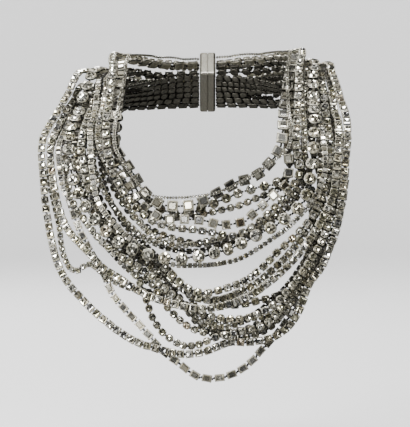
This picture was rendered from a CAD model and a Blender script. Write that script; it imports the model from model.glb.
"""Festoon necklace: the looks of its strands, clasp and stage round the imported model."""

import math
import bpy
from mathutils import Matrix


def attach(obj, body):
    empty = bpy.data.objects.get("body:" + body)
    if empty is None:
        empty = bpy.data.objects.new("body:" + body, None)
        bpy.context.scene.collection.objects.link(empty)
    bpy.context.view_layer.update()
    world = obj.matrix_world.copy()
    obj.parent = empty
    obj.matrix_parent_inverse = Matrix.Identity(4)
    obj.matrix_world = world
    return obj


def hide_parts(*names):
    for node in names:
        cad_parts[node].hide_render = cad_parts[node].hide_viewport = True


bl_info = {
    "name": "Festoon necklace",
    "version": (1, 0, 0),
    "blender": (4, 5, 0),
    "location": "View3D > Sidebar > Necklace",
    "description": "Builds the strands of set stones, the clasp and the stage",
    "category": "Object",
}

from collections import namedtuple

import bmesh
import bpy
import numpy as np
from mathutils import Vector

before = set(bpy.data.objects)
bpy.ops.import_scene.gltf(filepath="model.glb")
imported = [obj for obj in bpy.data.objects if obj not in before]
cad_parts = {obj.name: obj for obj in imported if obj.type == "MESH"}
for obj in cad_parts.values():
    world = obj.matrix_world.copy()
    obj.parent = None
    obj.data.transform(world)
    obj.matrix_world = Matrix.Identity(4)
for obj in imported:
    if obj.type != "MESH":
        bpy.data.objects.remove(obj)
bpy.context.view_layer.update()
MM = 0.001

# Neck, shoulders and chest that the strands lie on, in millimetres. The tilts and BACK_ANGLES
# are in degrees, and CHEST_SLOPE, RIDGE_LEAN, RIGHT_CLOSE and the flats are shares.
NECK_R = 58
RIDGE_DROP = 20
CHEST_FRONT = 42
CHEST_SLOPE = 0.33
CHEST_HALF = 170
ROLL_START = 70
ROLL = 52
NAPE_RISE = 10
NAPE_TILT = 45
RIDGE_LEAN = 0.45
RIDGE_TILT = 27
MOST_FALL = 15
RIGHT_CLOSE = 0.9
CLASP_W = 12
CLASP_GAP = 0.3
STRAND_GAP = 0.5
BEND_R = 26
FIRST_COLUMN = 4
COLUMN_W = 6
LEFT_SIDE = 64
RIGHT_SIDE = 49.5
SIDE_W = 5.9
BACK_ANGLES = (8, 32, 56, 77)
# Levels below the nape at which a strand spreads to its side, each with its share of the way
SIDE_DEPTHS = ((28, 0.3), (47, 0.7), (66, 1))
BACK_R = NECK_R + 2
STEP = 4
SAMPLE_REACH = 1.6 * STEP
OUTER_FLAT = 0.4
LINK_FLAT = 0.8
LEVEL_REACH = 1
BRIDGE_REACH = 9
# Samples to each side over which a cup's direction is taken
ALONG_REACH = 0.6

# Kinds of chain: distance from cup to cup, length of a cup along the chain, its width, its
# height with the stone, the cut of the stone, how round the cup's corners are, and whether
# the chain is of single links
Kind = namedtuple("Kind", "pitch long wide high cut corner linked")
LARGE_ROUND = Kind(11.6, 8.6, 8.6, 3.8, "round", 1.0, True)
MEDIUM_ROUND = Kind(9.6, 7, 7, 3.2, "round", 1.0, True)
LARGE_SQUARE = Kind(11, 7.6, 7.6, 3.2, "step", 0.22, True)
MEDIUM_SQUARE = Kind(10, 6.6, 6.6, 3, "step", 0.25, True)
BAGUETTE = Kind(8.6, 6.8, 4.6, 2.8, "step", 0.2, False)
SPACED = Kind(7.2, 5.6, 5, 2.8, "round", 0.5, False)
SQUARE = Kind(6.2, 5.3, 5, 2.8, "cushion", 0.35, False)
ROUND = Kind(6.3, 5.2, 4.8, 2.6, "round", 0.75, False)
SMALL = Kind(4.8, 4.1, 4, 2.4, "small", 0.5, False)
TINY = Kind(4, 3, 3.4, 2, "tiny", 0.25, False)
FINE = Kind(2, 1.35, 2, 1.4, "fine", 0.4, False)
EDGE = Kind(6.4, 5.3, 5, 2.8, "cushion", 0.25, False)

# Strands in the order in which they lie on each other, the lowest first: the node, its kind,
# its columns over the left shoulder, at the left and right side and over the right shoulder,
# and the points that it passes on the chest, each (across, down) in millimetres. The innermost
# column is 0. One with a part lies between two, and one below 0 is closer to the neck.
Strand = namedtuple("Strand", "node kind left left_side right_side right points")
STRANDS = (
    Strand("lowest_baguette_strand", BAGUETTE, 5, 7, 8, 5, [(-103, 79), (-97, 99), (-91, 116),
        (-84, 130), (-77, 142), (-72, 149), (-69, 156), (-65, 164), (-56, 174), (-44, 186),
        (-32, 199), (-20, 208), (-6, 217), (11, 217), (26, 210), (37, 199), (49, 187), (61, 170),
        (73, 151), (85, 131), (93, 105), (96, 89)]),
    Strand("hooked_strand", SMALL, 5, 8, 4, 2, [(-111, 86), (-108, 101), (-104, 117), (-102, 131),
        (-99, 141), (-95, 147), (-90, 148), (-86, 145), (-81, 143), (-76, 146), (-67, 153),
        (-50, 160), (-29, 163), (-11, 172), (6, 180), (25, 179), (42, 169), (58, 153), (72, 131),
        (80, 108), (79, 84)]),
    Strand("middle_round_strand", SPACED, 4, 5, 6, 4, [(-92, 80), (-82, 103), (-66, 124),
        (-49, 139), (-29, 151), (-12, 161), (2, 167), (18, 170), (34, 167), (49, 163), (59, 157),
        (70, 142), (81, 120), (88, 97)]),
    Strand("thin_column_strand", TINY, 5, 7, 7, 5, [(-102, 89), (-95, 101), (-82, 119), (-68, 134),
        (-55, 147), (-39, 156), (-22, 165), (-8, 178), (8, 187), (28, 188), (45, 182), (59, 166),
        (73, 146), (85, 124), (91, 98), (92, 76)]),
    Strand("swag_middle_strand", ROUND, 2, 3, 3, 2, [(-82, 80), (-72, 105), (-55, 127), (-36, 144),
        (-23, 159), (-15, 171), (-5, 183), (8, 189), (24, 191), (38, 187), (47, 180), (55, 168),
        (64, 150), (72, 128), (74, 104), (70, 82)]),
    Strand("swag_lower_strand", ROUND, 3, 4, 5, 3, [(-86, 76), (-77, 101), (-62, 127), (-45, 147),
        (-34, 161), (-25, 174), (-10, 185), (8, 188), (30, 184), (46, 173), (60, 158), (75, 137),
        (84, 112), (84, 88)]),
    Strand("inner_swag_strand", SMALL, 3, 4, 6, 4, [(-84, 80), (-76, 100), (-64, 118), (-52, 132),
        (-40, 144), (-30, 154), (-21, 164), (-12, 174), (-2, 181), (12, 186), (30, 186), (46, 179),
        (57, 166), (68, 148), (79, 126), (86, 100), (88, 76)]),
    Strand("swag_upper_strand", SMALL, 2, 2, 2, 1, [(-71, 92), (-58, 116), (-40, 133), (-24, 149),
        (-12, 164), (-1, 178), (12, 183), (28, 178), (44, 174), (55, 161), (66, 140), (72, 116),
        (68, 92)]),
    Strand("open_round_strand", ROUND, 2, 3, 4, 2, [(-81, 76), (-76, 103), (-67, 127), (-56, 140),
        (-46, 155), (-42, 166), (-38, 178), (-30, 189), (-18, 196), (-7, 195), (4, 190), (20, 186),
        (38, 181), (50, 169), (62, 150), (74, 128), (79, 102), (77, 78)]),
    Strand("wide_round_strand", ROUND, 4, 6, 7, 4, [(-100, 76), (-95, 98), (-86, 112), (-76, 124),
        (-64, 134), (-52, 141), (-40, 148), (-30, 157), (-18, 166), (-5, 173), (12, 177), (28, 176),
        (42, 169), (54, 158), (66, 143), (77, 126), (85, 106), (89, 84)]),
    Strand("cross_square_strand", SQUARE, 4, 5, 5, 3, [(-88, 80), (-76, 102), (-60, 120),
        (-44, 133), (-30, 146), (-18, 157), (-6, 164), (8, 165), (22, 161), (34, 155), (44, 147),
        (54, 137), (64, 124), (72, 110), (77, 92)]),
    Strand("edge_square_strand", SPACED, 3, 4, 6, 4, [(-86, 78), (-76, 103), (-60, 121), (-38, 136),
        (-25, 147), (-15, 156), (-3, 160), (9, 158), (25, 153), (36, 146), (47, 134), (58, 124),
        (72, 108), (82, 85)]),
    Strand("second_column_strand", SQUARE, 5, 8, 7, 5, [(-108, 88), (-104, 105), (-98, 119),
        (-90, 128), (-82, 135), (-72, 145), (-60, 152), (-44, 161), (-24, 167), (-6, 170),
        (12, 168), (30, 162), (46, 151), (63, 133), (76, 114), (86, 93)]),
    Strand("filled_inner_strand", ROUND, 0, 1, 1, 0, [(-60, 88), (-48, 104), (-34, 111), (-18, 111),
        (-4, 109), (10, 106), (22, 103), (34, 98), (44, 94), (52, 87), (57, 78)]),
    Strand("filled_round_strand", ROUND, 1, 2, 2, 1, [(-66, 90), (-55, 107), (-44, 117), (-34, 122),
        (-22, 126), (-8, 129), (4, 129), (18, 127), (30, 120), (42, 112), (54, 101), (63, 88)]),
    Strand("filled_small_strand", SMALL, 2, 2, 3, 2, [(-79, 76), (-70, 96), (-60, 110), (-50, 120),
        (-38, 128), (-24, 133), (-8, 134), (6, 131), (18, 128), (34, 120), (48, 111), (61, 98),
        (70, 82)]),
    Strand("collar_mixed_strand", MEDIUM_ROUND, 0, 0, 1, 0, [(-56, 80), (-49, 93), (-36, 104),
        (-20, 108), (-8, 106), (8, 100), (20, 95), (34, 91), (48, 87), (57, 79)]),
    Strand("inner_square_strand", MEDIUM_SQUARE, 1, 1, 1, 0, [(-60, 80), (-49, 99), (-38, 108),
        (-29, 112), (-16, 112), (-3, 113), (10, 116), (24, 114), (34, 106), (45, 96), (55, 86)]),
    Strand("collar_square_strand", LARGE_SQUARE, 0, 0, 0, 0, [(-52, 80), (-44, 93), (-34, 101),
        (-20, 103), (-7, 101), (5, 95), (20, 87), (34, 82)]),
    Strand("narrow_strand", SMALL, 1, 2, 3, 1, [(-66, 83), (-54, 105), (-41, 121), (-29, 128),
        (-16, 130), (-3, 127), (10, 125), (26, 122), (38, 115), (50, 105), (62, 91)]),
    Strand("inner_round_strand", SPACED, 1, 1, 2, 1, [(-63, 84), (-52, 101), (-40, 112), (-26, 117),
        (-10, 119), (5, 121), (17, 123), (30, 117), (40, 109), (52, 97), (63, 80)]),
    Strand("tiny_strand", TINY, 3, 3, 5, 3, [(-76, 97), (-60, 118), (-40, 134), (-24, 141),
        (-9, 142), (8, 142), (22, 139), (38, 130), (54, 118), (70, 100), (80, 80)]),
    Strand("large_round_strand", LARGE_ROUND, 3.5, 5.5, 4, 3, [(-94, 82), (-87, 98), (-74, 115),
        (-58, 128), (-38, 135), (-18, 137), (2, 134), (18, 130), (36, 121), (52, 111), (67, 95)]),
    Strand("outer_strand", EDGE, 5, 9, 8, 5, [(-115, 88), (-113, 108), (-108, 132), (-100, 151),
        (-88, 166), (-72, 180), (-54, 192), (-36, 198), (-18, 201), (-2, 199), (13, 194), (28, 194),
        (44, 191), (54, 184), (62, 171), (68, 155), (78, 142), (86, 123), (91, 102), (94, 82)]),
    Strand("neckline_strand", FINE, -0.9, 0, 1, -0.9, [(-52, 82), (-42, 94), (-30, 97), (-16, 97),
        (0, 95), (14, 91), (30, 82)]),
)


def unit(v):
    """The vector, or each row of vectors, at length one."""
    v = np.asarray(v, float)
    return v / np.linalg.norm(v, axis=-1, keepdims=True)


def fall(across):
    """How much lower the shoulders' ridge lies at a distance from the middle."""
    beside = abs(across) - NECK_R - FIRST_COLUMN
    return min(MOST_FALL, max(0, beside) * math.tan(math.radians(RIDGE_TILT)))


def chest_station(across, down):
    """A point on the chest and the direction in which strands lie on it there."""
    rolled = max(0, ROLL_START + fall(across) - down)
    front = CHEST_FRONT + CHEST_SLOPE * down
    front *= math.sqrt(max(0.05, 1 - (across / CHEST_HALF) ** 2))
    return np.array([across, rolled ** 2 / ROLL - front, -down]), unit([0, -1, 2 * rolled / ROLL])


def column_offset(side, column, turn):
    """Distance of a column from the neck, less over the right shoulder than at the nape."""
    close = 1 if side < 0 else 1 - (1 - RIGHT_CLOSE) * math.cos(turn)
    return FIRST_COLUMN + column * COLUMN_W * close


def back_station(side, column, angle):
    """A point over the shoulder or round the back, at an angle round the neck."""
    turn = math.radians(angle)
    tilt = math.radians(RIDGE_TILT + (NAPE_TILT - RIDGE_TILT) * math.sin(turn))
    level = NAPE_RISE * math.sin(turn) ** 2 - RIDGE_DROP
    radial = np.array([side * math.cos(turn), math.sin(turn), 0])
    offset = column_offset(side, column, turn)
    point = np.array([side * NECK_R * math.cos(turn), BACK_R * math.sin(turn), level])
    point = point + offset * (math.cos(tilt) * radial - np.array([0, 0, math.sin(tilt)]))
    lean = math.radians(NAPE_TILT * math.sin(turn))
    up = np.array([0, -RIDGE_LEAN * max(0, math.cos(2 * turn)), math.cos(lean)])
    return point, unit(math.sin(lean) * radial + up)


def half_way(side, column, edge):
    """Stations from the clasp over one shoulder to that side of the chest."""
    end, out = back_station(side, column, 90)
    found = [(end + np.array([side * (CLASP_W / 2 + CLASP_GAP), 0, 0]), out)]
    found += [back_station(side, column, angle) for angle in reversed(BACK_ANGLES)]
    tilt = math.radians(RIDGE_TILT)
    over = NECK_R + column_offset(side, column, 0) * math.cos(tilt)
    drop = column_offset(side, column, 0) * math.sin(tilt)
    for depth, share in SIDE_DEPTHS:
        across = side * (over + share * (edge - over))
        found.append(chest_station(across, depth + (1 - share) * drop))
    return found


def stations(strand):
    """All the stations of a strand, from its left end to its right end."""
    right = half_way(1, strand.right, RIGHT_SIDE + strand.right_side * SIDE_W)
    left = half_way(-1, strand.left, LEFT_SIDE + strand.left_side * SIDE_W)
    return left + [chest_station(*point) for point in strand.points] + right[::-1]


def samples(found):
    """Points a step apart on a smooth curve through the stations, and their directions."""
    points, outs = [], []
    last = len(found) - 1
    for i in range(last):
        a, b = found[max(0, i - 1)][0], found[i][0]
        c, d = found[i + 1][0], found[min(last, i + 2)][0]
        count = max(1, math.floor(np.linalg.norm(c - b) / STEP + 0.5))
        for k in range(count):
            t = k / count
            cubic = (3 * b - a - 3 * c + d) * t ** 3
            points.append(0.5 * (2 * b + (c - a) * t + (2 * a - 5 * b + 4 * c - d) * t * t + cubic))
            outs.append(unit(found[i][1] + (found[i + 1][1] - found[i][1]) * t))
    points.append(found[last][0])
    outs.append(found[last][1])
    return np.array(points), np.array(outs)


def lifted(points, outs, half_w, half_h, flat, laid):
    """Height at each point at which a strand clears those laid before it."""
    need = np.full(len(points), half_h)
    for under in laid:
        near = under["points"][None] - points[:, None]
        along = under["along"][None]
        gap = near + (under["height"][:, None] * under["outs"])[None]
        up = (gap * outs[:, None]).sum(2)
        side = gap - up[..., None] * outs[:, None]
        off = np.linalg.norm(side - (side * along).sum(2)[..., None] * along, axis=2)
        reach = half_w + under["half_w"] + STRAND_GAP
        level = flat + under["flat"]
        meets = np.abs((near * along).sum(2)) < SAMPLE_REACH
        meets &= (off < reach) & (np.linalg.norm(near, axis=2) < reach + SAMPLE_REACH)
        share = np.maximum(0, off - level) / (reach - level)
        over = (half_h + under["half_h"] + STRAND_GAP) * np.sqrt(np.clip(1 - share ** 2, 0, 1))
        need = np.maximum(need, np.where(meets, up + over, 0).max(1))
    height = need.copy()
    for k in range(1, BRIDGE_REACH + 1):
        drop = (max(0, k - LEVEL_REACH) * STEP) ** 2 / (2 * BEND_R)
        height[k:] = np.maximum(height[k:], need[:-k] - drop)
        height[:-k] = np.maximum(height[:-k], need[k:] - drop)
    return height


def lay_strands():
    """Every strand laid on the ones before it, by node."""
    laid = {}
    for strand in STRANDS:
        points, outs = samples(stations(strand))
        half_w, half_h = strand.kind.wide / 2, strand.kind.high / 2
        flat = half_w * (LINK_FLAT if strand.kind.linked else OUTER_FLAT)
        height = lifted(points, outs, half_w, half_h, flat, list(laid.values()))
        along = np.empty_like(points)
        along[1:-1] = points[2:] - points[:-2]
        along[0] = points[1] - points[0]
        along[-1] = points[-1] - points[-2]
        laid[strand.node] = {
            "points": points, "outs": outs, "height": height, "along": unit(along),
            "half_w": half_w, "half_h": half_h, "flat": flat,
        }
    return laid


def cup_frames(strand, laid):
    """The place of each cup of a strand, and its directions along, across and out."""
    own = laid[strand.node]
    middles = own["points"] + own["height"][:, None] * own["outs"]
    run = np.r_[0, np.cumsum(np.linalg.norm(np.diff(middles, axis=0), axis=1))]
    count = math.floor(run[-1] / strand.kind.pitch + 0.5)
    index = np.arange(len(run))
    at = np.interp((np.arange(count) + 0.5) * run[-1] / count, run, index)

    def between(rows, f):
        return np.stack([np.interp(f, index, rows[:, j]) for j in range(3)], 1)

    along = unit(between(middles, at + ALONG_REACH) - between(middles, at - ALONG_REACH))
    across = unit(np.cross(between(own["outs"], at), along))
    return between(middles, at), along, across, np.cross(along, across), run[-1] / count


class Shape:
    """Corners and faces of one cup, each face with the number of its material slot."""

    def __init__(self):
        self.corners = []
        self.faces = []
        self.slots = []

    def ring(self, outline, share, level):
        """Adds an outline, shrunk to a share of its size, at a level, and returns its numbers."""
        first = len(self.corners)
        self.corners += [(x * share, y * share, level) for x, y in outline]
        return list(range(first, len(self.corners)))

    def face(self, numbers, slot):
        """Adds one face."""
        self.faces.append(tuple(numbers))
        self.slots.append(slot)

    def band(self, low, high, slot):
        """Joins two rings of as many corners, the faces looking outwards."""
        count = len(low)
        for i in range(count):
            j = (i + 1) % count
            self.face((low[i], low[j], high[j], high[i]), slot)

    def stack(self, outline, rows, slot):
        """Joins rings given as (share, level) rows, and returns the first and last one."""
        first = self.ring(outline, *rows[0])
        ring = first
        for row in rows[1:]:
            above = self.ring(outline, *row)
            self.band(ring, above, slot)
            ring = above
        return first, ring

    def star(self, table, outline, share, level, bottom):
        """Sinks a shallow star of facets into the table of a stone."""
        well = self.ring(outline, share, level)
        self.band(table, well, STONE)
        middle = len(self.corners)
        self.corners.append((0, 0, bottom))
        for k, number in enumerate(well):
            self.face((number, well[(k + 1) % len(well)], middle), STONE)

    def block(self, low, high, slot):
        """Adds a closed block between two corners."""
        outline = [(low[0], low[1]), (high[0], low[1]), (high[0], high[1]), (low[0], high[1])]
        bottom = self.ring(outline, 1, low[2])
        top = self.ring(outline, 1, high[2])
        self.band(bottom, top, slot)
        self.face(top, slot)
        self.face(bottom[::-1], slot)


def rounded(half_l, half_w, corner, steps):
    """Outline of a rectangle with rounded corners, a circle where corner is 1."""
    radius = corner * min(half_l, half_w)
    found = []
    for quarter, (sx, sy) in enumerate(((1, 1), (-1, 1), (-1, -1), (1, -1))):
        for k in range(steps):
            angle = math.radians(90 * (quarter + (k + 0.5) / steps))
            x = sx * (half_l - radius) + radius * math.cos(angle)
            found.append((x, sy * (half_w - radius) + radius * math.sin(angle)))
    return found


# Material slots of a cup, its rim's level in the height of cup and stone, and the girdle's
# share of the cup's size
WALL = 0
RIM = 1
BACK = 2
STONE = 3
CUP_SHARE = 0.6
GIRDLE_SHARE = 0.9
STEP_GIRDLE_SHARE = 0.78
# Inner edge of a rim as a share of the cup's size, and its bevel as a share of the height
LIP = 0.88
STEP_LIP = 0.76
RIM_BEVEL = 0.1
STEP_RIM_BEVEL = 0.14
# Edge of a stone that lies in its cup: its share of the girdle, and its depth under the rim
SKIRT_SHARE = 0.94
SKIRT_DEPTH = 0.08
# Bar between two cups, its level above their bases, and the gap where two bars meet
BAR_W = 1.4
BAR_H = 1
BAR_LEVEL = 0.4
LINK_GAP = 0.4
FINE_GAP = 0.05
# How much wider the cups of a fine chain are than the form they are laid in
FINE_GROWTH = 1.08
# Corner steps of the cup, facets round the stone, and whether the cup has prongs, by cut
CUTS = {
    "round": (4, 8, True), "small": (2, 6, True), "cushion": (3, 8, True),
    "step": (3, 8, True), "tiny": (2, 8, False), "fine": (2, 4, False),
}


def add_cup(shape, kind, base, rim, steps):
    """The metal cup: a closed base, a wall, a rim and the lip that goes down to the stone."""
    high = kind.high
    outline = rounded(kind.long / 2, kind.wide / 2, kind.corner, steps)
    lip = STEP_LIP if kind.cut == "step" else LIP
    bevel = STEP_RIM_BEVEL if kind.cut == "step" else RIM_BEVEL
    rows = ((0.84, base), (1, base + 0.14 * high), (1, rim - bevel * high), (0.92, rim),
            (lip + 0.03, rim), (lip - 0.03, rim - 0.12 * high))
    if kind.cut in ("tiny", "fine"):
        rows = ((0.86, base), (1, base + 0.14 * high), (1, rim), (0.84, rim))
    first, _ = shape.stack(outline, rows, RIM)
    shape.slots[:2 * len(outline)] = [BACK] * len(outline) + [WALL] * len(outline)
    shape.face(first[::-1], BACK)


def add_prongs(shape, kind, base, rim):
    """Four claws that rise from the cup's corners and bend in over the stone."""
    half_l, half_w = kind.long / 2, kind.wide / 2
    inset = (1 - math.cos(math.radians(45))) * kind.corner * min(half_l, half_w)
    reach = math.hypot(half_l - inset, half_w - inset)
    width, depth = 0.085 * kind.wide, 0.05 * kind.wide
    top = base + kind.high
    path = ((1.0, rim - 0.25 * kind.high, 1), (1.0, rim + 0.14 * kind.high, 0.95),
            (0.84, top - 0.1 * kind.high, 0.6))
    for sx, sy in ((1, 1), (-1, 1), (-1, -1), (1, -1)):
        out = unit([sx * (half_l - inset), sy * (half_w - inset)])
        side = np.array([-out[1], out[0]])
        rings = []
        for share, level, size in path:
            middle = out * (reach * share - depth)
            rows = [middle + out * depth * a * size + side * width * b * size
                    for a, b in ((1, -0.6), (1, 0.6), (-1, 1), (-1, -1))]
            rings.append(shape.ring([tuple(row) for row in rows], 1, level))
        for low, high in zip(rings, rings[1:]):
            shape.band(low, high, RIM)
        shape.face(rings[-1], RIM)


def add_round_stone(shape, kind, rim, top, facets):
    """A brilliant: a skirt in the cup, girdle, kite and star facets, table and its star."""
    radius = min(kind.long, kind.wide) / 2 * GIRDLE_SHARE
    turn = 2 * math.pi / facets

    def circle(count, offset):
        return [(radius * math.cos(turn * offset + 2 * math.pi * k / count),
                 radius * math.sin(turn * offset + 2 * math.pi * k / count))
                for k in range(count)]

    low = shape.ring(circle(2 * facets, 0), SKIRT_SHARE, rim - SKIRT_DEPTH * kind.high)
    girdle = shape.ring(circle(2 * facets, 0), 1, rim + 0.05 * kind.high)
    shape.band(low, girdle, STONE)
    crown = top - rim - 0.05 * kind.high
    kites = shape.ring(circle(facets, 0.5), 0.8, rim + 0.05 * kind.high + 0.5 * crown)
    table = shape.ring(circle(facets, 0), 0.6, top)
    shape.star(table, circle(facets, 0), 0.46, top - 0.02 * kind.high, top - 0.16 * kind.high)
    for k in range(facets):
        after = (k + 1) % facets
        before = (k - 1) % facets
        corner, half = girdle[2 * k], girdle[2 * k + 1]
        shape.face((corner, half, kites[k]), STONE)
        shape.face((half, girdle[2 * after], kites[k]), STONE)
        shape.face((corner, kites[k], table[k], kites[before]), STONE)
        shape.face((kites[k], table[after], table[k]), STONE)


def add_plain_stone(shape, kind, rim, top, facets):
    """A small round cut with few facets: girdle, a crown of triangles, table and its star."""
    radius = min(kind.long, kind.wide) / 2 * GIRDLE_SHARE
    turns = 2 * math.pi * (np.arange(facets) + 0.5) / facets
    between = turns + math.pi / facets
    outline = list(zip(radius * np.cos(turns), radius * np.sin(turns)))
    turned = list(zip(radius * np.cos(between), radius * np.sin(between)))
    low = shape.ring(outline, SKIRT_SHARE, rim - SKIRT_DEPTH * kind.high)
    girdle = shape.ring(outline, 1, rim + 0.08 * kind.high)
    shape.band(low, girdle, STONE)
    table = shape.ring(turned, 0.66, top)
    shape.star(table, turned, 0.54, top - 0.02 * kind.high, top - 0.2 * kind.high)
    for k in range(facets):
        after = (k + 1) % facets
        shape.face((girdle[k], girdle[after], table[k]), STONE)
        shape.face((table[k], girdle[after], table[after]), STONE)


def add_step_stone(shape, kind, rim, top, deep):
    """A stepped cut with clipped corners: skirt, two rows of facets and a large table."""
    girdle = STEP_GIRDLE_SHARE if kind.cut == "step" else GIRDLE_SHARE
    half_l = kind.long / 2 * girdle
    half_w = kind.wide / 2 * girdle
    outline = rounded(half_l, half_w, max(kind.corner, 0.3), 2)
    crown = top - rim
    rows = [(0.96, rim - SKIRT_DEPTH * kind.high), (1, rim), (0.9, rim + 0.5 * crown),
            (0.72, top)]
    _, table = shape.stack(outline, rows, STONE)
    if deep:
        shape.star(table, outline, 0.6, top - 0.01 * kind.high, top - 0.14 * kind.high)
    else:
        shape.face(table, STONE)


def cup_shape(kind, spacing):
    """One cup with its stone, claws and connecting bar, in millimetres round its middle."""
    shape = Shape()
    if not kind.linked:
        kind = kind._replace(wide=kind.wide * FINE_GROWTH)
    steps, facets, claws = CUTS[kind.cut]
    base = -kind.high / 2
    top = kind.high / 2
    rim = base + CUP_SHARE * kind.high
    add_cup(shape, kind, base, rim, steps)
    if claws:
        add_prongs(shape, kind, base, rim)
    if kind.linked and kind.cut == "round":
        add_round_stone(shape, kind, rim, top, facets)
    elif kind.cut in ("round", "small", "fine"):
        add_plain_stone(shape, kind, rim, top, facets)
    else:
        add_step_stone(shape, kind, rim, top, kind.cut == "cushion")
    width, height = (BAR_W, BAR_H) if kind.linked else (0.3 * kind.wide, 0.25 * kind.high)
    half = (spacing - (LINK_GAP if kind.linked else FINE_GAP)) / 2
    level = base + (BAR_LEVEL if kind.linked else 0.2 * kind.high)
    shape.block((-half, -width / 2, level), (half, width / 2, level + height), WALL)
    return shape


def buried(places, out, strand, laid):
    """How far each cup of a strand lies hidden under the strands laid after it, from 0 to 1."""
    order = list(laid)
    found = np.zeros(len(places))
    for node in order[order.index(strand.node) + 1:]:
        over = laid[node]
        middles = over["points"] + over["height"][:, None] * over["outs"]
        gap = middles[None] - places[:, None]
        up = (gap * out[:, None]).sum(2)
        off = np.linalg.norm(gap - up[..., None] * out[:, None], axis=2)
        reach = over["half_w"] + strand.kind.wide / 2
        near = np.where(up > 0, np.clip(2 - 2 * off / reach, 0, 1), 0)
        found = np.maximum(found, near.max(1))
    return found


def joined_cups(name, strand, laid, seed, tilt, shares):
    """All the cups of a strand as one mesh, each a little out of true and with its own tint."""
    places, along, across, out, spacing = cup_frames(strand, laid)
    shape = cup_shape(strand.kind, spacing)
    chance = np.random.RandomState(seed)
    count = len(places)
    hidden = buried(places, out, strand, laid)
    lean = chance.normal(0, tilt, (count, 3))
    out = unit(out + lean[:, :1] * along + lean[:, 1:2] * across)
    along = along + lean[:, 2:] * across
    along = unit(along - (along * out).sum(1, keepdims=True) * out)
    across = np.cross(out, along)
    corners = np.tile(shape.corners, (count, 1, 1))
    if strand.kind.cut in ("round", "small"):
        of_stone = sorted({number for face, slot in zip(shape.faces, shape.slots)
                           if slot == STONE for number in face})
        turn = chance.uniform(0, 2 * math.pi, (count, 1))
        x, y = corners[:, of_stone, 0], corners[:, of_stone, 1]
        corners[:, of_stone, 0] = x * np.cos(turn) - y * np.sin(turn)
        corners[:, of_stone, 1] = x * np.sin(turn) + y * np.cos(turn)
    spots = places[:, None] + corners[..., :1] * along[:, None]
    spots = spots + corners[..., 1:2] * across[:, None] + corners[..., 2:] * out[:, None]
    sizes = np.tile([len(face) for face in shape.faces], count)
    numbers = np.concatenate(shape.faces)
    numbers = (numbers[None] + np.arange(count)[:, None] * len(shape.corners)).ravel()
    stones = np.array(shape.slots) == STONE
    tints = chance.choice(len(shares), count, p=np.array(shares) / sum(shares)) + STONE
    slots = np.where(stones[None], tints[:, None], np.array(shape.slots)[None]).ravel()
    mesh = bpy.data.meshes.new(name)
    mesh.vertices.add(count * len(shape.corners))
    mesh.vertices.foreach_set("co", (spots * MM).ravel())
    mesh.loops.add(len(numbers))
    mesh.loops.foreach_set("vertex_index", numbers)
    mesh.polygons.add(len(sizes))
    mesh.polygons.foreach_set("loop_start", np.r_[0, np.cumsum(sizes)[:-1]])
    mesh.polygons.foreach_set("material_index", slots)
    mesh.polygons.foreach_set("use_smooth", np.zeros(len(sizes), bool))
    flat = np.full(count, 0.0 if strand.kind.cut in ("round", "small", "cushion") else 1.0)
    for key, values in (("cup_value", chance.rand(count)), ("cup_warmth", chance.rand(count)),
                        ("cup_flat", flat), ("cup_buried", hidden)):
        made = mesh.attributes.new(key, "FLOAT", "FACE")
        made.data.foreach_set("value", np.repeat(values, len(shape.faces)))
    mesh.update(calc_edges=True)
    mesh.validate()
    return mesh


# Brightness that a cup keeps where it lies hidden under other strands
TARNISH = 0.3


def new_group(name, inputs, outputs):
    """A shader node group with its named sockets, and its input and output nodes."""
    group = bpy.data.node_groups.new(name, "ShaderNodeTree")
    for label, kind, value in inputs:
        socket = group.interface.new_socket(name=label, in_out="INPUT", socket_type=kind)
        socket.default_value = value
    for label, kind in outputs:
        group.interface.new_socket(name=label, in_out="OUTPUT", socket_type=kind)
    return group, group.nodes.new("NodeGroupInput"), group.nodes.new("NodeGroupOutput")


def mixed(group, factor, first, second):
    """A colour mix in a node group, and its result."""
    node = group.nodes.new("ShaderNodeMix")
    node.data_type = "RGBA"
    for socket, source in ((node.inputs[0], factor), (node.inputs[6], first),
                           (node.inputs[7], second)):
        group.links.new(source, socket)
    return node.outputs[2]


def scaled(group, source, low, high, new_low, new_high):
    """A value brought from one range to another in a node group."""
    node = group.nodes.new("ShaderNodeMapRange")
    group.links.new(source, node.inputs["Value"])
    for socket, value in zip(node.inputs[1:5], (low, high, new_low, new_high)):
        socket.default_value = value
    return node.outputs["Result"]


def ramp(tree, source, first, last):
    """A value turned to a colour between two stops, each its position and its colour."""
    node = tree.nodes.new("ShaderNodeValToRGB")
    for element, stop in zip(node.color_ramp.elements, (first, last)):
        element.position, element.color = stop
    tree.links.new(source, node.inputs["Fac"])
    return node.outputs["Color"]


def noise(group, scale, detail):
    """Noise over the piece, at a number of waves to the metre."""
    place = group.nodes.new("ShaderNodeTexCoord")
    node = group.nodes.new("ShaderNodeTexNoise")
    node.inputs["Scale"].default_value = scale
    node.inputs["Detail"].default_value = detail
    group.links.new(place.outputs["Object"], node.inputs["Vector"])
    return node.outputs["Fac"]


def cup_value(group, name):
    """A value that each cup carries on its faces."""
    node = group.nodes.new("ShaderNodeAttribute")
    node.attribute_name = name
    return node.outputs["Fac"]


def tarnished(group, colour):
    """A colour darkened on the cups that lie hidden under other strands."""
    share = scaled(group, cup_value(group, "cup_buried"), 0, 1, 1, TARNISH)
    node = group.nodes.new("ShaderNodeVectorMath")
    node.operation = "SCALE"
    group.links.new(colour, node.inputs[0])
    group.links.new(share, node.inputs["Scale"])
    return node.outputs["Vector"]


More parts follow.
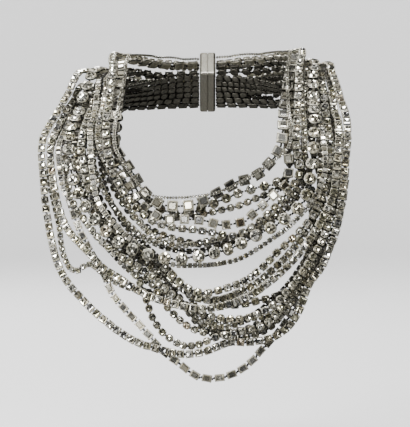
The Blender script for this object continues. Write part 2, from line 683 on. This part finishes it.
def plating_wear():
    """Plated metal: dark in places, rubbed bright in others, with uneven gloss."""
    group, given, result = new_group(
        "plating_wear",
        (("Plating", "NodeSocketColor", (0.2, 0.2, 0.2, 1)),
         ("Rubbed", "NodeSocketColor", (0.7, 0.7, 0.7, 1)),
         ("Gloss Low", "NodeSocketFloat", 0.2),
         ("Gloss High", "NodeSocketFloat", 0.4)),
        (("Colour", "NodeSocketColor"), ("Roughness", "NodeSocketFloat")))
    patches = scaled(group, noise(group, 420, 3), 0.42, 0.66, 0, 1)
    colour = mixed(group, patches, given.outputs["Plating"], given.outputs["Rubbed"])
    group.links.new(tarnished(group, colour), result.inputs["Colour"])
    gloss = group.nodes.new("ShaderNodeMapRange")
    group.links.new(noise(group, 900, 2), gloss.inputs["Value"])
    group.links.new(given.outputs["Gloss Low"], gloss.inputs["To Min"])
    group.links.new(given.outputs["Gloss High"], gloss.inputs["To Max"])
    group.links.new(gloss.outputs["Result"], result.inputs["Roughness"])
    return group


def stone_tint():
    """Foiled crystal: each stone a little lighter, darker or warmer, with faint haze."""
    group, given, result = new_group(
        "stone_tint",
        (("Stone", "NodeSocketColor", (0.8, 0.8, 0.8, 1)),
         ("Warm", "NodeSocketColor", (0.8, 0.75, 0.6, 1)),
         ("Deep", "NodeSocketColor", (0.4, 0.4, 0.4, 1))),
        (("Colour", "NodeSocketColor"), ("Roughness", "NodeSocketFloat")))
    warmth = scaled(group, cup_value(group, "cup_warmth"), 0.5, 1, 0, 1)
    warm = mixed(group, warmth, given.outputs["Stone"], given.outputs["Warm"])
    depth = scaled(group, cup_value(group, "cup_value"), 0.6, 1, 0, 0.8)
    deep = mixed(group, depth, warm, given.outputs["Deep"])
    group.links.new(tarnished(group, deep), result.inputs["Colour"])
    haze = group.nodes.new("ShaderNodeMath")
    haze.operation = "MULTIPLY_ADD"
    group.links.new(cup_value(group, "cup_flat"), haze.inputs[0])
    haze.inputs[1].default_value = 0.06
    group.links.new(scaled(group, noise(group, 500, 2), 0.3, 0.8, 0.03, 0.14), haze.inputs[2])
    group.links.new(haze.outputs["Value"], result.inputs["Roughness"])
    return group


def new_material(name):
    """A material, its node tree and its shader."""
    material = bpy.data.materials.new(name)
    material.use_nodes = True
    return material, material.node_tree, material.node_tree.nodes["Principled BSDF"]


def finish(name, group, colours, metallic, coat):
    """A material whose colour and roughness come from a shared effect with its own values."""
    _, tree, shader = new_material(name)
    effect = tree.nodes.new("ShaderNodeGroup")
    effect.node_tree = group
    for label, value in colours.items():
        effect.inputs[label].default_value = value
    tree.links.new(effect.outputs["Colour"], shader.inputs["Base Color"])
    tree.links.new(effect.outputs["Roughness"], shader.inputs["Roughness"])
    shader.inputs["Metallic"].default_value = metallic
    shader.inputs["Coat Weight"].default_value = coat
    shader.inputs["Coat Roughness"].default_value = 0.03


def brushed_metal(name, low, high):
    """Metal brushed along the clasp's bar, with fine lines in its colour, gloss and relief."""
    _, tree, shader = new_material(name)
    place = tree.nodes.new("ShaderNodeTexCoord")
    turned = tree.nodes.new("ShaderNodeMapping")
    turned.inputs["Rotation"].default_value = (math.radians(NAPE_TILT), 0, 0)
    turned.inputs["Scale"].default_value = (1, 0.03, 1)
    lines = tree.nodes.new("ShaderNodeTexNoise")
    lines.inputs["Scale"].default_value = 2600
    lines.inputs["Detail"].default_value = 3
    colours = ramp(tree, lines.outputs["Fac"], (0.35, low), (0.65, high))
    gloss = tree.nodes.new("ShaderNodeMapRange")
    gloss.inputs["To Min"].default_value = 0.24
    gloss.inputs["To Max"].default_value = 0.42
    relief = tree.nodes.new("ShaderNodeBump")
    relief.inputs["Strength"].default_value = 0.12
    relief.inputs["Distance"].default_value = 0.0002
    for source, socket in (
            (place.outputs["Object"], turned.inputs["Vector"]),
            (turned.outputs["Vector"], lines.inputs["Vector"]),
            (lines.outputs["Fac"], gloss.inputs["Value"]),
            (lines.outputs["Fac"], relief.inputs["Height"]),
            (colours, shader.inputs["Base Color"]),
            (gloss.outputs["Result"], shader.inputs["Roughness"]),
            (relief.outputs["Normal"], shader.inputs["Normal"])):
        tree.links.new(source, socket)
    shader.inputs["Metallic"].default_value = 1


def darker(colour, share):
    """A colour at a share of its brightness."""
    return (colour[0] * share, colour[1] * share, colour[2] * share, 1)


def necklace_materials(looks):
    """The settings' metals and the stones' tints, made once."""
    if "silver_rim" in bpy.data.materials:
        return
    wear, tint = plating_wear(), stone_tint()
    silver, dark = tuple(looks.silver) + (1,), tuple(looks.gunmetal) + (1,)
    for name, plating, rubbed, low, high in (
            ("silver_rim", darker(silver, 1.1), darker(silver, 1.4), 0.4, 0.6),
            ("silver_wall", darker(silver, 0.03), darker(silver, 0.13), 0.25, 0.45),
            ("silver_back", darker(silver, 0.9), darker(silver, 1.4), 0.45, 0.65),
            ("gunmetal_wall", darker(dark, 0.4), dark, 0.25, 0.45),
            ("gunmetal_back", darker(silver, 0.6), darker(silver, 1), 0.45, 0.65)):
        finish(name, wear, {"Plating": plating, "Rubbed": rubbed, "Gloss Low": low,
                            "Gloss High": high}, 1, 0)
    brushed_metal("clasp_metal", darker(silver, 0.3), darker(silver, 0.62))
    clear, warm = tuple(looks.clear) + (1,), tuple(looks.warm) + (1,)
    for name, stone, deep in (
            ("clear_stone", clear, darker(clear, 0.5)),
            ("bright_stone", (0.97, 0.96, 0.9, 1), clear),
            ("olive_stone", (0.58, 0.56, 0.42, 1), (0.3, 0.29, 0.2, 1)),
            ("smoke_stone", (0.36, 0.36, 0.35, 1), (0.12, 0.12, 0.12, 1)),
            ("champagne_stone", (0.88, 0.77, 0.6, 1), (0.62, 0.5, 0.35, 1))):
        finish(name, tint, {"Stone": stone, "Warm": warm, "Deep": deep}, 0.98, 0.5)


STONES = ("clear_stone", "bright_stone", "olive_stone", "smoke_stone", "champagne_stone")
# Shares of those tints among the stones of a strand
MIXED = (46, 22, 16, 13, 3)
PALE = (40, 36, 10, 10, 4)
BRIGHT = (40, 60, 0, 0, 0)
DARK = (14, 10, 8, 68, 0)
DARK_ROWS = {"lowest_baguette_strand", "thin_column_strand", "tiny_strand", "outer_strand",
             "neckline_strand"}
TINTS = {"collar_mixed_strand": PALE, "large_round_strand": PALE, "collar_square_strand": PALE,
         "inner_square_strand": PALE, "lowest_baguette_strand": BRIGHT, "outer_strand": PALE,
         "neckline_strand": BRIGHT, "tiny_strand": BRIGHT, "narrow_strand": PALE,
         "thin_column_strand": DARK}
LOWER_SWAGS = ("lowest_baguette_strand", "hooked_strand", "middle_round_strand",
               "thin_column_strand", "swag_middle_strand", "swag_lower_strand")
UPPER_SWAGS = ("inner_swag_strand", "swag_upper_strand", "open_round_strand",
               "wide_round_strand", "cross_square_strand", "edge_square_strand",
               "second_column_strand", "outer_strand")
FILLING_ROWS = ("filled_inner_strand", "filled_round_strand", "filled_small_strand",
                "narrow_strand", "inner_round_strand", "tiny_strand")
COLLAR_ROWS = ("collar_mixed_strand", "inner_square_strand", "collar_square_strand",
               "large_round_strand", "neckline_strand")
LAID = lay_strands()


# Cuts across the clasp that its seam is made from, in metres, the share of its size that the
# clasp keeps at the seam's bottom, and the width of its bevels in metres
SEAM = (-0.0004, -0.00015, 0.00015, 0.0004)
SEAM_SHARE = 0.95
CLASP_BEVEL = 0.0016


def add_object(name, data):
    """An object in the scene with this mesh, lamp or camera."""
    ob = bpy.data.objects.new(name, data)
    bpy.context.scene.collection.objects.link(ob)
    return ob


def build_strands(nodes, looks):
    """Makes each of these strands and lets it stand for its node of the frame."""
    necklace_materials(looks)
    order = [strand.node for strand in STRANDS]
    for node in nodes:
        place = order.index(node)
        mesh = joined_cups(node + "_cups", STRANDS[place], LAID, looks.seed + place,
                           looks.cup_tilt, TINTS.get(node, MIXED))
        dark = node in DARK_ROWS
        metal = "gunmetal" if dark else "silver"
        for name in (metal + "_wall", "silver_rim", metal + "_back") + STONES:
            mesh.materials.append(bpy.data.materials[name])
        piece = add_object(node + "_cups", mesh)
        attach(piece, "root")
        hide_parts(node)


class NecklaceLooks(bpy.types.PropertyGroup):
    """Sizes and colours of the strands' cups and stones."""

    seed: bpy.props.IntProperty(
        name="Seed", description="Picks the lean and the tint of every stone", default=7, min=0)
    cup_tilt: bpy.props.FloatProperty(
        name="Cup tilt", description="Usual lean of a cup out of its strand's line",
        default=math.radians(3), min=0, max=math.radians(8), subtype="ANGLE", unit="ROTATION")
    silver: bpy.props.FloatVectorProperty(
        name="Silver", description="Colour of the pale settings", subtype="COLOR",
        default=(0.7, 0.67, 0.57), min=0, max=1)
    gunmetal: bpy.props.FloatVectorProperty(
        name="Gunmetal", description="Colour of the dark settings", subtype="COLOR",
        default=(0.1, 0.1, 0.105), min=0, max=1)
    clear: bpy.props.FloatVectorProperty(
        name="Clear stones", description="Colour of most of the stones", subtype="COLOR",
        default=(0.83, 0.81, 0.7), min=0, max=1)
    warm: bpy.props.FloatVectorProperty(
        name="Warm stones", description="Colour that the warmer stones lean to",
        subtype="COLOR", default=(0.8, 0.74, 0.56), min=0, max=1)


class StageLooks(bpy.types.PropertyGroup):
    """Sizes and colours of the stage, and the camera's distance."""

    floor: bpy.props.FloatProperty(
        name="Floor", description="Level of the floor", default=-0.3, unit="LENGTH")
    distance: bpy.props.FloatProperty(
        name="Distance", description="From the camera to the necklace", default=1.34,
        min=0.5, unit="LENGTH")
    backdrop: bpy.props.FloatVectorProperty(
        name="Backdrop", description="Colour of the floor and the wall behind",
        subtype="COLOR", default=(0.84, 0.84, 0.84), min=0, max=1)
    light: bpy.props.FloatProperty(
        name="Light", description="Strength of the lamps", default=1, min=0, max=4)


class StrandsOperator:
    """Makes the strands that an operator names."""

    def execute(self, context):
        build_strands(self.nodes, context.scene.necklace)
        return {"FINISHED"}


class NECKLACE_OT_lower_swags(StrandsOperator, bpy.types.Operator):
    """Make the lowest swags of the front"""

    bl_idname = "necklace.lower_swags"
    bl_label = "Lower swags"
    nodes = LOWER_SWAGS


class NECKLACE_OT_upper_swags(StrandsOperator, bpy.types.Operator):
    """Make the swags and columns that lie over them"""

    bl_idname = "necklace.upper_swags"
    bl_label = "Upper swags"
    nodes = UPPER_SWAGS


class NECKLACE_OT_filling_rows(StrandsOperator, bpy.types.Operator):
    """Make the finer rows between the collar and the swags"""

    bl_idname = "necklace.filling_rows"
    bl_label = "Filling rows"
    nodes = FILLING_ROWS


class NECKLACE_OT_collar_rows(StrandsOperator, bpy.types.Operator):
    """Make the large stones' rows and the fine row along the neckline"""

    bl_idname = "necklace.collar_rows"
    bl_label = "Collar rows"
    nodes = COLLAR_ROWS


class NECKLACE_OT_clasp(bpy.types.Operator):
    """Make the plain bar at the nape that the strands end on"""

    bl_idname = "necklace.clasp"
    bl_label = "Clasp"

    def execute(self, context):
        necklace_materials(context.scene.necklace)
        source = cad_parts["clasp"]
        mesh = source.data.copy()
        mesh.name = "clasp_bar"
        mesh.materials.clear()
        mesh.materials.append(bpy.data.materials["clasp_metal"])
        shape = bmesh.new()
        shape.from_mesh(mesh)
        bmesh.ops.remove_doubles(shape, verts=shape.verts, dist=1e-6)
        bmesh.ops.dissolve_limit(shape, angle_limit=0.02, verts=shape.verts, edges=shape.edges)
        bmesh.ops.bevel(shape, geom=shape.edges[:], offset=CLASP_BEVEL, segments=4,
                        profile=0.5, affect="EDGES")
        middle = sum((v.co for v in shape.verts), Vector()) / len(shape.verts)
        for x in SEAM:
            bmesh.ops.bisect_plane(shape, geom=shape.verts[:] + shape.edges[:] + shape.faces[:],
                                   plane_co=(x, 0, 0), plane_no=(1, 0, 0))
        for v in shape.verts:
            if abs(v.co.x) < SEAM[-1] / 2:
                v.co.yz = middle.yz + (v.co.yz - middle.yz) * SEAM_SHARE
        shape.to_mesh(mesh)
        shape.free()
        piece = add_object("clasp_bar", mesh)
        piece.matrix_world = source.matrix_world
        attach(piece, "root")
        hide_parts("clasp")
        return {"FINISHED"}


class NECKLACE_OT_stage(bpy.types.Operator):
    """Make the pale floor and wall, the lamps and the camera"""

    bl_idname = "necklace.stage"
    bl_label = "Stage"

    def execute(self, context):
        looks = context.scene.necklace_stage
        add_backdrop(looks)
        for place, size, power in LAMPS:
            add_lamp(place, size, power * looks.light)
        context.scene.world = studio_world(looks)
        add_camera(looks)
        return {"FINISHED"}


# Lamps of the studio: place in metres, side of the square in metres, power in watts
LAMPS = (
    ((-0.7, -0.75, 0.55), 0.3, 14),
    ((1.1, -0.9, 0.6), 0.3, 3),
    ((0.0, -0.35, 1.2), 0.35, 12),
    ((-0.4, 1.3, 0.8), 0.5, 16),
    ((-1.1, -0.3, 0.0), 0.25, 4),
    ((-0.12, -1.7, -0.12), 0.24, 1.8),
    ((0.25, -1.3, -0.75), 0.35, 5),
)
# Point that the camera and the lamps look at, and the sheet behind: radius of its floor, of
# its bend and height of its wall, in metres
AIM = Vector((-0.002, -0.06, -0.1095))
FLOOR_R = 2.2
WALL_BEND = 0.8
WALL_H = 1.3
# Width in metres that the camera takes in at the necklace, and its angle above level
VIEW_W = 410 * 0.0007
CAMERA_RISE = 3


def add_lamp(place, size, power):
    """One square lamp that shines at the necklace."""
    lamp = bpy.data.lights.new("lamp", "AREA")
    lamp.size = size
    lamp.energy = power
    ob = add_object("lamp", lamp)
    ob.location = place
    ob.rotation_euler = (AIM - Vector(place)).to_track_quat("-Z", "Y").to_euler()


def studio_world(looks):
    """Pale all round to the eye, with soft dark and light fields for the stones to mirror."""
    world = bpy.data.worlds.new("studio")
    world.use_nodes = True
    tree = world.node_tree
    sky = tree.nodes["Background"]
    sky.inputs["Strength"].default_value = looks.light
    place = tree.nodes.new("ShaderNodeTexCoord")
    fields = tree.nodes.new("ShaderNodeTexNoise")
    fields.inputs["Scale"].default_value = 4.5
    fields.inputs["Detail"].default_value = 2
    tree.links.new(place.outputs["Generated"], fields.inputs["Vector"])
    edges = ramp(tree, fields.outputs["Fac"], (0.49, (0.02, 0.02, 0.02, 1)),
                 (0.58, (1.0, 0.99, 0.95, 1)))
    parts = tree.nodes.new("ShaderNodeSeparateXYZ")
    tree.links.new(place.outputs["Generated"], parts.inputs["Vector"])
    front = scaled(tree, parts.outputs["Y"], -0.98, -0.85, 0.4, 1)
    side = scaled(tree, parts.outputs["X"], 0, 0.5, 1, 0.3)
    both = tree.nodes.new("ShaderNodeMath")
    both.operation = "MULTIPLY"
    tree.links.new(front, both.inputs[0])
    tree.links.new(side, both.inputs[1])
    shaded = tree.nodes.new("ShaderNodeVectorMath")
    shaded.operation = "SCALE"
    tree.links.new(edges, shaded.inputs[0])
    tree.links.new(both.outputs["Value"], shaded.inputs["Scale"])
    ray = tree.nodes.new("ShaderNodeLightPath")
    mix = tree.nodes.new("ShaderNodeMix")
    mix.data_type = "RGBA"
    mix.inputs[6].default_value = tuple(looks.backdrop) + (1,)
    tree.links.new(ray.outputs["Is Glossy Ray"], mix.inputs[0])
    tree.links.new(shaded.outputs["Vector"], mix.inputs[7])
    tree.links.new(mix.outputs[2], sky.inputs["Color"])
    return world


def add_backdrop(looks):
    """A wide round sheet: the floor, curved up into a low wall far off on every side."""
    bend = [(FLOOR_R + WALL_BEND * math.sin(a), WALL_BEND * (1 - math.cos(a)))
            for a in np.radians(np.arange(0, 91, 10))]
    rows = [(0.3, 0)] + bend + [(FLOOR_R + WALL_BEND, WALL_H)]
    turns = np.radians(np.arange(0, 360, 6))
    points = [(r * math.cos(a), r * math.sin(a), looks.floor + z) for r, z in rows for a in turns]
    count = len(turns)
    faces = [list(range(count))]
    for k in range(len(rows) - 1):
        for i in range(count):
            j = (i + 1) % count
            faces.append((k * count + i, (k + 1) * count + i, (k + 1) * count + j, k * count + j))
    mesh = bpy.data.meshes.new("backdrop")
    mesh.from_pydata(points, [], faces)
    mesh.polygons.foreach_set("use_smooth", [True] * len(faces))
    material, tree, shader = new_material("backdrop_paper")
    bump = tree.nodes.new("ShaderNodeBump")
    bump.inputs["Strength"].default_value = 0.04
    tree.links.new(noise(tree, 90, 2), bump.inputs["Height"])
    tree.links.new(bump.outputs["Normal"], shader.inputs["Normal"])
    shader.inputs["Base Color"].default_value = tuple(looks.backdrop) + (1,)
    shader.inputs["Roughness"].default_value = 0.9
    shader.inputs["Emission Color"].default_value = tuple(looks.backdrop) + (1,)
    shader.inputs["Emission Strength"].default_value = 0.5
    mesh.materials.append(material)
    ob = add_object("backdrop", mesh)
    ob.visible_glossy = False


def add_camera(looks):
    """The camera, level with the chest and a little above it."""
    camera = bpy.data.cameras.new("camera")
    camera.sensor_fit = "HORIZONTAL"
    camera.sensor_width = 36
    camera.lens = camera.sensor_width * looks.distance / VIEW_W
    camera.clip_start = 0.05
    ob = add_object("camera", camera)
    rise = math.radians(CAMERA_RISE)
    ob.location = AIM + looks.distance * Vector((0, -math.cos(rise), math.sin(rise)))
    ob.rotation_euler = (math.pi / 2 - rise, 0, 0)
    bpy.context.scene.camera = ob


OPERATORS = (NECKLACE_OT_lower_swags, NECKLACE_OT_upper_swags, NECKLACE_OT_filling_rows,
             NECKLACE_OT_collar_rows, NECKLACE_OT_clasp, NECKLACE_OT_stage)


class NECKLACE_PT_panel(bpy.types.Panel):
    """The necklace's sizes, colours and pieces"""

    bl_label = "Necklace"
    bl_idname = "NECKLACE_PT_panel"
    bl_space_type = "VIEW_3D"
    bl_region_type = "UI"
    bl_category = "Necklace"

    def draw(self, context):
        layout = self.layout
        for group in (context.scene.necklace, context.scene.necklace_stage):
            for name in group.__annotations__:
                layout.prop(group, name)
        for operator in OPERATORS:
            layout.operator(operator.bl_idname)


CLASSES = (NecklaceLooks, StageLooks) + OPERATORS + (NECKLACE_PT_panel,)


def register():
    """Registers the classes and the scene's two groups of values."""
    for cls in CLASSES:
        bpy.utils.register_class(cls)
    bpy.types.Scene.necklace = bpy.props.PointerProperty(type=NecklaceLooks)
    bpy.types.Scene.necklace_stage = bpy.props.PointerProperty(type=StageLooks)


def unregister():
    """Takes them away again."""
    del bpy.types.Scene.necklace_stage
    del bpy.types.Scene.necklace
    for cls in reversed(CLASSES):
        bpy.utils.unregister_class(cls)


def main():
    """Builds the stage and every piece, and writes how large the dressed model is."""
    register()
    bpy.ops.necklace.stage()
    bpy.ops.necklace.lower_swags()
    bpy.ops.necklace.upper_swags()
    bpy.ops.necklace.filling_rows()
    bpy.ops.necklace.collar_rows()
    bpy.ops.necklace.clasp()


if __name__ == "__main__":
    main()
